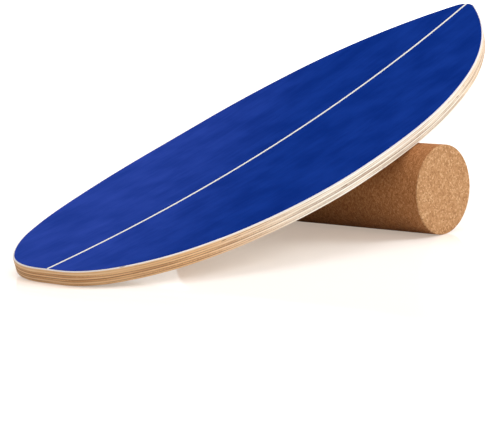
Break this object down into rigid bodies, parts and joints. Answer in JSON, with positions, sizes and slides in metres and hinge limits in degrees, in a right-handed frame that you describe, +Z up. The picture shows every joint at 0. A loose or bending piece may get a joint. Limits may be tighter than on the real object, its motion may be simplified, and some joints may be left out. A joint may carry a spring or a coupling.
{
  "type": "balance board",
  "caption": "Surfboard-shaped balance board: a rockered laminated plywood deck with a blue face and a pale centre stripe, resting tail-down across a loose solid cork roller.",
  "frame": {"origin": "middle of the board's footprint on the floor, with the tail's lower edge and the roller both on the floor", "axes": "+X from tail to nose, +Y to the left rail of someone facing the nose, +Z up"},
  "size_m": [0.747, 0.365, 0.2308],
  "materials": {
    "light_ply": "satin",
    "dark_ply": "satin",
    "blue_face": "satin",
    "stripe": "satin",
    "cork": "matte"
  },
  "bodies": {
    "roller": {"cork_roller": "cork"},
    "deck": {"ply_1_bottom": "light_ply", "ply_2": "dark_ply", "ply_3": "light_ply", "ply_4": "dark_ply", "ply_5": "light_ply", "ply_6": "dark_ply", "ply_7_top": "light_ply", "face_veneer_left": "blue_face", "face_veneer_right": "blue_face", "centre_stripe": "stripe"}
  },
  "joints": [
    {"name": "deck_tilt", "type": "hinge", "parent": "roller", "child": "deck", "pos_m": [0.05985, 0, 0.05], "axis": [0, 1, 0], "range_deg": [0, 35.7]}
  ]
}
